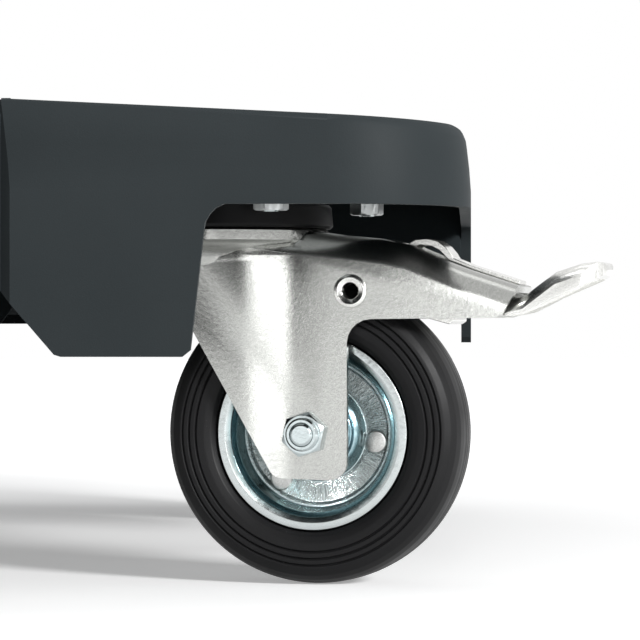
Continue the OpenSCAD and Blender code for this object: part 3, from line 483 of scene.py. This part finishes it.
# The mounting nuts and bolts: M6 hexagon nuts under each castor plate and low round heads sunk in the tray.
# Sixteen of each, set out on the rectangle of holes that every castor plate has.
BOLT_SPACING = (80 * MM, 60 * MM)
PLATE_TURN = math.radians(29)
NUT_FLATS = 10 * MM
NUT_HEIGHT = 5 * MM
NUT_BOTTOM = 122.5 * MM
BOLT_D = 6 * MM
HEAD_BASE = 137.8 * MM
BOLT_TIP = 122.1 * MM
NUT_TURN = math.radians(12)


def bolt_places(height):
    """Centres of the sixteen bolts at a height, and the turn of the plate that each belongs to."""
    places, turns = [], []
    for sx, sy in CORNERS.values():
        turn = sx * sy * PLATE_TURN
        middle = Vector((sx * CASTOR_PLACE[0], sy * CASTOR_PLACE[1], height))
        for bx in (-1, 1):
            for by in (-1, 1):
                offset = Vector((bx * BOLT_SPACING[0] / 2, by * BOLT_SPACING[1] / 2, 0))
                places.append(middle + Matrix.Rotation(turn, 3, "Z") @ offset)
                turns.append((0, 0, turn + NUT_TURN))
    return places, turns


def hexagon_nut(name, flats, height, bore, material):
    """A hexagon nut with both ends turned to a cone and a countersunk bore, as it comes off the former."""
    steps = 48
    chamfer = flats * 0.075
    mouth, bevel, corner_limit = bore / 2 + chamfer * 0.5, chamfer * 0.6, flats / 2 + chamfer * 1.2
    rows = [(mouth, 0.0), (flats / 2, 0.0), (None, bevel), (None, height - bevel), (flats / 2, height),
            (mouth, height), (bore / 2, height - chamfer * 0.5), (bore / 2, chamfer * 0.5)]
    points, faces = [], []
    for row, (row_radius, z) in enumerate(rows):
        for k in range(steps):
            angle = 2 * math.pi * k / steps
            to_flat = (angle + math.pi / 6) % (math.pi / 3) - math.pi / 6
            radius = row_radius or min(flats / 2 / math.cos(to_flat), corner_limit)
            points.append((radius * math.cos(angle), radius * math.sin(angle), z))
            this, beside = row * steps, (row + 1) % len(rows) * steps
            faces.append((this + k, this + (k + 1) % steps, beside + (k + 1) % steps, beside + k))
    return small_part(name, points, faces, material)


places, turns = bolt_places(NUT_BOTTOM)
nuts = set_out("mounting_nuts_set", hexagon_nut("m6_nut", NUT_FLATS, NUT_HEIGHT, BOLT_D, zinc_satin),
               places, turns, zinc_satin, 30)
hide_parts("mounting_nuts")
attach(nuts, "deck")


def round_headed_bolt(material):
    """A low domed head on a plain shank whose end is chamfered."""
    r, tip, chamfer = BOLT_D / 2, BOLT_TIP - HEAD_BASE, 0.6 * MM
    rim, rise = 0.9 * MM, 2.6 * MM
    dome = [(2 * r * math.cos(t), rim + rise * math.sin(t)) for t in [math.pi / 2 * k / 7 for k in range(7)]]
    profile = [(0, tip), (r - chamfer, tip), (r, tip + chamfer), (r, 0.0), (2 * r, 0.0)] + dome + [(0, rim + rise)]
    points, faces = turned_points(profile, 32)
    return small_part("round_headed_bolt", points, faces, material)


places, turns = bolt_places(HEAD_BASE)
bolts = set_out("mounting_bolts_set", round_headed_bolt(fastener_zinc), places, turns, fastener_zinc, 30)
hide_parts("mounting_bolts")
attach(bolts, "deck")


# The swivel balls: fourteen hardened steel balls in each head, hidden behind the dust ring. They are polished, so
# they share the bright finish of the fasteners.
BALL_D = 7 * MM
BALL_COUNT = 14
RACE_RADIUS = 28 * MM
BALL_HEIGHT = 121.6 * MM


def steel_ball(material):
    """A plain ball, turned from a half circle."""
    profile = [(BALL_D / 2 * math.sin(math.pi * k / 10), -BALL_D / 2 * math.cos(math.pi * k / 10)) for k in range(11)]
    points, faces = turned_points(profile, 20)
    return small_part("steel_ball", points, faces, material)


places = []
for corner in CORNERS:
    for k in range(BALL_COUNT):
        own = Matrix.Rotation(2 * math.pi * k / BALL_COUNT, 4, "Z") @ Vector((RACE_RADIUS, 0, BALL_HEIGHT))
        places.append(castor_matrix(corner) @ own)
balls = set_out("swivel_ball_rings", steel_ball(fastener_zinc), places, [(0, 0, 0)] * len(places),
                fastener_zinc, 80)
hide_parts("swivel_bearings")
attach(balls, "deck")


# The lower cups: turned and plated rings, riveted under the crowns, which hold the forks up on their pins. They
# come from the same CAD node as the balls, whose own points lie above the cups' top.
CUP_TOP = 115 * MM
cups = clean_copy("castor_lower_cups", "swivel_bearings", 0, zinc_satin)
work = bmesh.new()
work.from_mesh(cups.data)
bmesh.ops.delete(work, geom=[v for v in work.verts if v.co.z > CUP_TOP], context="VERTS")
work.to_mesh(cups.data)
work.free()
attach(cups, "deck")


# The turned pieces of a castor, tyre, rims, hub and dust ring, share one Geometry Nodes tree: a closed section,
# given as an object, is carried round its axis on a grid, and the grid's ends and seam are merged.
def turning_tree():
    """Geometry Nodes: turns the section object's points about Y through the origin in a number of steps."""
    tree = bpy.data.node_groups.new("turned_from_section", "GeometryNodeTree")
    tree.is_modifier = True
    tree.interface.new_socket("Geometry", in_out="INPUT", socket_type="NodeSocketGeometry")
    tree.interface.new_socket("Section", in_out="INPUT", socket_type="NodeSocketObject")
    tree.interface.new_socket("Section points", in_out="INPUT", socket_type="NodeSocketInt")
    tree.interface.new_socket("Steps", in_out="INPUT", socket_type="NodeSocketInt")
    tree.interface.new_socket("Finish", in_out="INPUT", socket_type="NodeSocketMaterial")
    tree.interface.new_socket("Geometry", in_out="OUTPUT", socket_type="NodeSocketGeometry")
    given = node(tree, "NodeGroupInput")
    section = node(tree, "GeometryNodeObjectInfo", None, {"Object": given.outputs["Section"]})
    steps = node(tree, "ShaderNodeMath", {"operation": "ADD", 1: 1.0}, {0: given.outputs["Steps"]})
    grid = node(tree, "GeometryNodeMeshGrid", None,
                {"Vertices X": steps.outputs[0], "Vertices Y": given.outputs["Section points"]})
    index = node(tree, "GeometryNodeInputIndex")
    row = node(tree, "ShaderNodeMath", {"operation": "MODULO"},
               {0: index.outputs[0], 1: given.outputs["Section points"]})
    column = node(tree, "ShaderNodeMath", {"operation": "DIVIDE"},
                  {0: index.outputs[0], 1: given.outputs["Section points"]})
    whole = node(tree, "ShaderNodeMath", {"operation": "FLOOR"}, {0: column.outputs[0]})
    share = node(tree, "ShaderNodeMath", {"operation": "DIVIDE"}, {0: whole.outputs[0], 1: given.outputs["Steps"]})
    angle = node(tree, "ShaderNodeMath", {"operation": "MULTIPLY", 1: 2 * math.pi}, {0: share.outputs[0]})
    place = node(tree, "GeometryNodeInputPosition")
    at = node(tree, "GeometryNodeSampleIndex", {"data_type": "FLOAT_VECTOR"},
              {"Geometry": section.outputs["Geometry"], "Value": place.outputs[0], "Index": row.outputs[0]})
    spun = node(tree, "ShaderNodeVectorRotate", {"rotation_type": "Y_AXIS"},
                {"Vector": at.outputs["Value"], "Angle": angle.outputs[0]})
    moved = node(tree, "GeometryNodeSetPosition", None,
                 {"Geometry": grid.outputs["Mesh"], "Position": spun.outputs[0]})
    closed = node(tree, "GeometryNodeMergeByDistance", {"Distance": 0.002 * MM}, {"Geometry": moved.outputs[0]})
    real = node(tree, "GeometryNodeRealizeInstances", None, {0: closed.outputs[0]})
    coated = node(tree, "GeometryNodeSetMaterial", None,
                  {"Geometry": real.outputs[0], "Material": given.outputs["Finish"]})
    node(tree, "NodeGroupOutput", None, {"Geometry": coated.outputs[0]})
    return tree


TURNING = turning_tree()
ARC_STEPS = 4
TURNED_SHARP_ANGLE = math.radians(40)


def filleted(outline, radius):
    """Rounds the corners of a closed outline of (r, y) points with arcs; a third number is a corner's own radius."""
    made = []
    count = len(outline)
    for i in range(count):
        before, here, after = (Vector(outline[(i + k) % count][:2]) for k in (-1, 0, 1))
        size = outline[i][2] if len(outline[i]) > 2 else radius
        to_before, to_after = before - here, after - here
        angle = to_before.angle(to_after)
        reach = min(size / math.tan(angle / 2), to_before.length * 0.48, to_after.length * 0.48)
        if reach < 0.02 * MM or angle > math.radians(176):
            made.append(here)
            continue
        start, end = here + to_before.normalized() * reach, here + to_after.normalized() * reach
        for k in range(ARC_STEPS + 1):
            t = k / ARC_STEPS
            made.append(start * (1 - t) ** 2 + here * 2 * t * (1 - t) + end * t * t)
    return made


def turned(name, outline, radius, steps, material, carry):
    """Turns a closed outline of (r, y) about the y axis through Geometry Nodes and carries it into place."""
    section_points = filleted(outline, radius)
    section_points.append(section_points[0])
    mesh = bpy.data.meshes.new(name + "_section")
    mesh.from_pydata([(p[0], p[1], 0) for p in section_points], [], [])
    section = bpy.data.objects.new(name + "_section", mesh)
    bpy.context.scene.collection.objects.link(section)
    holder = bpy.data.objects.new(name, bpy.data.meshes.new(name + "_start"))
    bpy.context.scene.collection.objects.link(holder)
    modifier = holder.modifiers.new("turned", "NODES")
    modifier.node_group = TURNING
    sockets = {s.name: s.identifier for s in TURNING.interface.items_tree if s.in_out == "INPUT"}
    modifier[sockets["Section"]] = section
    modifier[sockets["Section points"]] = len(section_points)
    modifier[sockets["Steps"]] = steps
    modifier[sockets["Finish"]] = material
    bpy.context.view_layer.update()
    result = bpy.data.meshes.new_from_object(holder.evaluated_get(bpy.context.evaluated_depsgraph_get()))
    holder.modifiers.clear()
    holder.data = result
    result.name = name
    bpy.data.objects.remove(section)
    work = bmesh.new()
    work.from_mesh(result)
    bmesh.ops.recalc_face_normals(work, faces=work.faces)
    work.to_mesh(result)
    work.free()
    result.transform(carry)
    result.shade_smooth()
    result.set_sharp_from_angle(angle=TURNED_SHARP_ANGLE)
    return holder


def on_axle(corner):
    """Carries a piece turned about the y axis at the origin onto a castor's axle."""
    return castor_matrix(corner) @ Matrix.Translation((TRAIL, 0, AXLE_HEIGHT))


def mm_outline(points):
    """An outline given in millimetres, in metres; a third number is that corner's own radius."""
    return [tuple(v * MM for v in p) for p in points]


# The tyres: solid black rubber, vulcanised in a mould, with three fine grooves round each side, round shoulders
# and two fine mould lines round the tread. The sidewalls carry nothing else.
TYRE_HALF = 15.0
GROOVES = (39.0, 41.3, 43.5)
GROOVE_HALF, GROOVE_DEPTH = 0.45, 0.85
RUBBER_CLOUD = 16 * MM
DUST_SPACING = 2.2 * MM
RUBBER_GRAIN, RUBBER_GRAIN_HEIGHT = 0.7 * MM, 0.04 * MM


def tyre_outline():
    """Half of the tyre's section from bore to tread, then its mirror image."""
    half = [(29.6, 8.9), (32.7, 10.8), (32.7, 12.6), (34.0, 13.9, 1.5), (36.2, 14.75, 4.0), (38.3, TYRE_HALF, 1.0)]
    for g in GROOVES:
        half += [(g - GROOVE_HALF, TYRE_HALF, 0.15), (g, TYRE_HALF - GROOVE_DEPTH, 0.2),
                 (g + GROOVE_HALF, TYRE_HALF, 0.3)]
    half += [(45.0, 14.6, 2.0), (46.9, 13.4, 2.0), (48.4, 11.4, 2.0), (49.4, 8.8, 3.0), (49.85, 5.5, 3.0),
             (49.9, 1.7, 0.1), (50.0, 1.4, 0.1), (49.9, 1.1, 0.1)]
    other = [(p[0], -p[1], *p[2:]) for p in reversed(half)]
    return mm_outline(half + other)


def vulcanised_rubber():
    """Carbon-black rubber: dull, a little glossier where it was polished by handling, with pale dust specks."""
    made, tree, shader = start_material("vulcanised_rubber", "#1c1c1d", 0.0, 0.5)
    shader.inputs["IOR"].default_value = 1.52
    shader.inputs["Specular IOR Level"].default_value = 0.16
    own = node(tree, "ShaderNodeAttribute", {"attribute_name": "castor_place"}).outputs["Vector"]
    clouds = node(tree, "ShaderNodeTexNoise", {"Scale": 1 / RUBBER_CLOUD, "Detail": 4.0}, {"Vector": own})
    gloss = node(tree, "ShaderNodeMapRange", {"From Min": 0.3, "From Max": 0.7, "To Min": 0.4, "To Max": 0.56},
                 {"Value": clouds.outputs["Fac"]})
    tree.links.new(gloss.outputs[0], shader.inputs["Roughness"])
    specks = node(tree, "ShaderNodeTexVoronoi", {"Scale": 1 / DUST_SPACING, "Randomness": 1.0}, {"Vector": own})
    dust = node(tree, "ShaderNodeMapRange", {"From Min": 0.0, "From Max": 0.09, "To Min": 1.0, "To Max": 0.0},
                {"Value": specks.outputs["Distance"]})
    rare = node(tree, "ShaderNodeMapRange", {"From Min": 0.56, "From Max": 0.66}, {"Value": clouds.outputs["Fac"]})
    amount = node(tree, "ShaderNodeMath", {"operation": "MULTIPLY"}, {0: dust.outputs[0], 1: rare.outputs[0]})
    tone = node(tree, "ShaderNodeMix", {"data_type": "RGBA"}, {"Factor": amount.outputs[0]})
    tone.inputs[6].default_value = linear("#1a1a1b")
    tone.inputs[7].default_value = linear("#7a7a78")
    tree.links.new(tone.outputs[2], shader.inputs["Base Color"])
    grain = node(tree, "ShaderNodeTexNoise", {"Scale": 1 / RUBBER_GRAIN, "Detail": 2.0}, {"Vector": own})
    bump(tree, shader, grain.outputs["Fac"], RUBBER_GRAIN_HEIGHT, 0.5)
    return made


rubber = vulcanised_rubber()
for corner in CORNERS:
    tyre = turned(corner + "_tyre_rubber", tyre_outline(), 0.5 * MM, 144, rubber, on_axle(corner))
    mark_own_place(tyre.data, corner)
    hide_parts(corner + "_tyre")
    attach(tyre, corner + "_wheel")


# The rims: two pressed steel discs back to back, blue-passivated zinc. Their colour is set by radius: the lip and
# the flat ring are light, painted shade makes the bowl behind the lip a darker teal, and the tone darkens toward the
# hub. The flat ring between hub and bowl keeps fine radial marks from the spinning tool.
RIM_BLUE = "#9fb9bf"
# Tones by radius across the disc: the darker teal stops at 0.66 and 0.78, in the bowl, are painted shade.
RIM_TONES_WITH_BOWL_SHADE = [(0.0, "#8fa9b2"), (0.2, "#a8c0c6"), (0.3, "#c3cfcf"), (0.6, "#cfd6d5"), (0.66, "#8fa5a8"),
             (0.78, "#94a9ab"), (0.84, "#b9bfbf"), (1.0, "#bcc1c1")]
TONES_FROM, TONES_TO = 10 * MM, 33 * MM
MARKS_ROUND, MARKS_OUTWARD = 75.0, 120.0
MARK_HEIGHT = 0.5 * MM
RING_FADES_IN, RING_FADES_OUT = (16 * MM, 17.5 * MM), (24 * MM, 25 * MM)
RIM_WAVE, RIM_WAVE_HEIGHT = 6 * MM, 0.35 * MM
RIM_OUTLINE = [(10.6, 0.1), (24.3, 0.1), (25.7, 1.2, 1.0), (26.7, 3.4, 1.5), (27.1, 8.0, 1.0), (28.2, 9.8, 1.0),
               (29.6, 10.6, 0.5), (31.6, 10.6, 0.4), (32.3, 11.4, 0.4), (31.9, 12.4, 0.45), (29.6, 12.4, 1.0),
               (27.7, 11.7, 1.2), (26.2, 9.6, 1.5), (25.3, 5.2, 1.0), (24.8, 3.9, 0.5), (24.0, 3.7, 0.4),
               (23.2, 2.3, 0.5), (16.3, 2.2, 0.6), (15.3, 3.2, 0.6), (14.3, 5.0, 0.6), (12.8, 6.3, 0.6),
               (11.9, 5.2, 0.4), (10.6, 6.6, 0.3)]


def blue_zinc_rim():
    """Blue-passivated zinc on a spun disc: bright, with painted shade making the bowl a darker teal, and fine radial
    marks on the flat ring.
    """
    made, tree, shader = start_material("blue_zinc_disc_painted_bowl_shade", RIM_BLUE, 1.0, 0.2)
    own = node(tree, "ShaderNodeAttribute", {"attribute_name": "castor_place"}).outputs["Vector"]
    centred = node(tree, "ShaderNodeVectorMath", {"operation": "SUBTRACT", 1: (TRAIL, 0, AXLE_HEIGHT)}, {0: own})
    parts = node(tree, "ShaderNodeSeparateXYZ", None, {0: centred.outputs[0]})
    flat = node(tree, "ShaderNodeCombineXYZ", None, {"X": parts.outputs["X"], "Y": parts.outputs["Z"]})
    radius = node(tree, "ShaderNodeVectorMath", {"operation": "LENGTH"}, {0: flat.outputs[0]}).outputs["Value"]
    angle = node(tree, "ShaderNodeMath", {"operation": "ARCTAN2"},
                 {0: parts.outputs["Z"], 1: parts.outputs["X"]}).outputs[0]
    scaled = node(tree, "ShaderNodeMapRange", {"From Min": TONES_FROM, "From Max": TONES_TO}, {"Value": radius})
    # Painted shade: this ramp darkens the bowl to teal, and the part toward the hub, against the light lip and flat
    # ring.
    tone = node(tree, "ShaderNodeValToRGB", None, {0: scaled.outputs[0]})
    ends = tone.color_ramp.elements
    ends[0].color, ends[1].color = linear(RIM_TONES_WITH_BOWL_SHADE[0][1]), linear(RIM_TONES_WITH_BOWL_SHADE[-1][1])
    for position, colour in RIM_TONES_WITH_BOWL_SHADE[1:-1]:
        tone.color_ramp.elements.new(position).color = linear(colour)
    turn = node(tree, "ShaderNodeMath", {"operation": "MULTIPLY", 1: MARKS_ROUND}, {0: angle})
    out = node(tree, "ShaderNodeMath", {"operation": "MULTIPLY", 1: MARKS_OUTWARD}, {0: radius})
    where = node(tree, "ShaderNodeCombineXYZ", None, {"X": turn.outputs[0], "Y": out.outputs[0]})
    marks = node(tree, "ShaderNodeTexNoise", {"Scale": 1.0, "Detail": 3.0, "Roughness": 0.7},
                 {"Vector": where.outputs[0]})
    inner = node(tree, "ShaderNodeMapRange", {"From Min": RING_FADES_IN[0], "From Max": RING_FADES_IN[1]},
                 {"Value": radius})
    outer = node(tree, "ShaderNodeMapRange", {"From Min": RING_FADES_OUT[1], "From Max": RING_FADES_OUT[0]},
                 {"Value": radius})
    ring = node(tree, "ShaderNodeMath", {"operation": "MULTIPLY"}, {0: inner.outputs[0], 1: outer.outputs[0]})
    strength = node(tree, "ShaderNodeMath", {"operation": "MULTIPLY"}, {0: marks.outputs["Fac"], 1: ring.outputs[0]})
    grey = node(tree, "ShaderNodeMapRange", {"From Min": 0.36, "From Max": 0.64, "To Min": 0.62, "To Max": 1.0},
                {"Value": marks.outputs["Fac"]})
    streaked = node(tree, "ShaderNodeMix", {"data_type": "RGBA", "blend_type": "MULTIPLY"},
                    {"Factor": ring.outputs[0]})
    tree.links.new(tone.outputs[0], streaked.inputs[6])
    tree.links.new(grey.outputs[0], streaked.inputs[7])
    tree.links.new(streaked.outputs[2], shader.inputs["Base Color"])
    waves = node(tree, "ShaderNodeTexNoise", {"Scale": 1 / RIM_WAVE, "Detail": 3.0}, {"Vector": own})
    under = bump(tree, shader, waves.outputs["Fac"], RIM_WAVE_HEIGHT, 0.5)
    bump(tree, shader, strength.outputs[0], MARK_HEIGHT, 1.0, under)
    return made


rim_zinc = blue_zinc_rim()
for corner in CORNERS:
    for part, side in (("rim_outer", -1), ("rim_inner", 1)):
        outline = [(p[0], side * p[1], *p[2:]) for p in RIM_OUTLINE]
        rim = turned(f"{corner}_{part}_disc", mm_outline(outline), 0.2 * MM, 128, rim_zinc, on_axle(corner))
        mark_own_place(rim.data, corner)
        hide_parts(f"{corner}_{part}")
        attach(rim, corner + "_wheel")


# The rivets, bearing rollers and hub tubes: three flat rivets hold each rim together, and ten rollers run between
# the hub tube and the axle sleeve. Rivets and rollers are set out round the axle by the tree of copies.
RIVET_RADIUS = 19.8 * MM
RIVET_COUNT = 3
RIVET_START = math.radians(8.7)
RIVET_HALF = 3.6 * MM
ROLLER_COUNT = 10
ROLLER_RADIUS = 7.3 * MM
ROLLER_D = 2.5 * MM
ROLLER_LENGTH = 28 * MM
HUB_OUTER = 10.5 * MM
HUB_BORE = 8.6 * MM
HUB_HALF = 16 * MM


def round_axle(corner, count, radius, start):
    """Places and turns of copies round a castor's axle, each with its own z along the axle."""
    carry = on_axle(corner)
    places, turns = [], []
    lay_down = (carry.to_3x3() @ Matrix.Rotation(math.radians(90), 3, "X")).to_euler()
    for k in range(count):
        angle = start + 2 * math.pi * k / count
        places.append(carry @ Vector((radius * math.cos(angle), 0, radius * math.sin(angle))))
        turns.append(tuple(lay_down))
    return places, turns


def rim_rivet(material):
    """A flat-headed rivet with a soft edge on both heads."""
    head, shank, under_head, half = 3.8 * MM, 1.95 * MM, 2.2 * MM, RIVET_HALF
    upper = [(shank, under_head - 0.05 * MM), (head, under_head), (head, half - 0.6 * MM),
             (head - 0.35 * MM, half - 0.15 * MM), (head - 0.9 * MM, half), (0, half)]
    lower = [(r, -h) for r, h in reversed(upper)]
    points, faces = turned_points(lower + upper, 36)
    return small_part("rim_rivet", points, faces, material)


def bearing_roller(material):
    """A plain roller with rounded ends."""
    r, half, soft = ROLLER_D / 2, ROLLER_LENGTH / 2, 0.3 * MM
    profile = [(0, -half), (r - soft, -half), (r, -half + soft), (r, half - soft), (r - soft, half), (0, half)]
    points, faces = turned_points(profile, 16)
    return small_part("bearing_roller", points, faces, material)


rivet_zinc = zinc_pressing("zinc_rivet", "#cfd0ce", "#a5a6a4", 0.28, drawn=False)
for corner in CORNERS:
    places, turns = round_axle(corner, RIVET_COUNT, RIVET_RADIUS, -RIVET_START)
    rivets = set_out(corner + "_rivet_set", rim_rivet(rivet_zinc), places, turns, rivet_zinc)
    mark_own_place(rivets.data, corner)
    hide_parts(corner + "_rim_rivets")
    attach(rivets, corner + "_wheel")
    places, turns = round_axle(corner, ROLLER_COUNT, ROLLER_RADIUS, 0)
    rollers = set_out(corner + "_roller_set", bearing_roller(fastener_zinc), places, turns, fastener_zinc)
    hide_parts(corner + "_hub_rollers")
    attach(rollers, corner + "_wheel")
    tube = [(HUB_BORE, -HUB_HALF), (HUB_OUTER, -HUB_HALF), (HUB_OUTER, HUB_HALF), (HUB_BORE, HUB_HALF)]
    hub = turned(corner + "_hub_tube", tube, 0.35 * MM, 72, rim_zinc, on_axle(corner))
    mark_own_place(hub.data, corner)
    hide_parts(corner + "_hub")
    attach(hub, corner + "_wheel")


# The dust rings: black polyamide collars clipped round the ball races, matt, with a lip at the top. They turn
# with the forks and keep the balls out of sight.
DUST_OUTLINE = [(36.0, 0.0), (37.6, 0.0), (38.5, 0.9), (38.0, 7.0), (37.0, 8.0), (34.7, 8.0), (34.7, 6.4),
                (35.5, 5.9)]
CROWN_TOP = 117.7 * MM
COLLAR_GRAIN, COLLAR_GRAIN_HEIGHT = 0.6 * MM, 0.03 * MM


def black_polyamide():
    """Black polyamide: matt and a little waxy."""
    made, tree, shader = start_material("black_polyamide", "#101011", 0.0, 0.48)
    shader.inputs["Specular IOR Level"].default_value = 0.15
    place = node(tree, "ShaderNodeTexCoord").outputs["Object"]
    grain = node(tree, "ShaderNodeTexNoise", {"Scale": 1 / COLLAR_GRAIN, "Detail": 2.0}, {"Vector": place})
    bump(tree, shader, grain.outputs["Fac"], COLLAR_GRAIN_HEIGHT, 0.5)
    return made


polyamide = black_polyamide()
stand_up = Matrix.Rotation(math.radians(90), 4, "X")
for corner in CORNERS:
    carry = castor_matrix(corner) @ Matrix.Translation((0, 0, CROWN_TOP)) @ stand_up
    ring = turned(corner + "_dust_collar", mm_outline(DUST_OUTLINE), 0.4 * MM, 96, polyamide, carry)
    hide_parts(corner + "_dust_ring")
    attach(ring, corner + "_swivel")
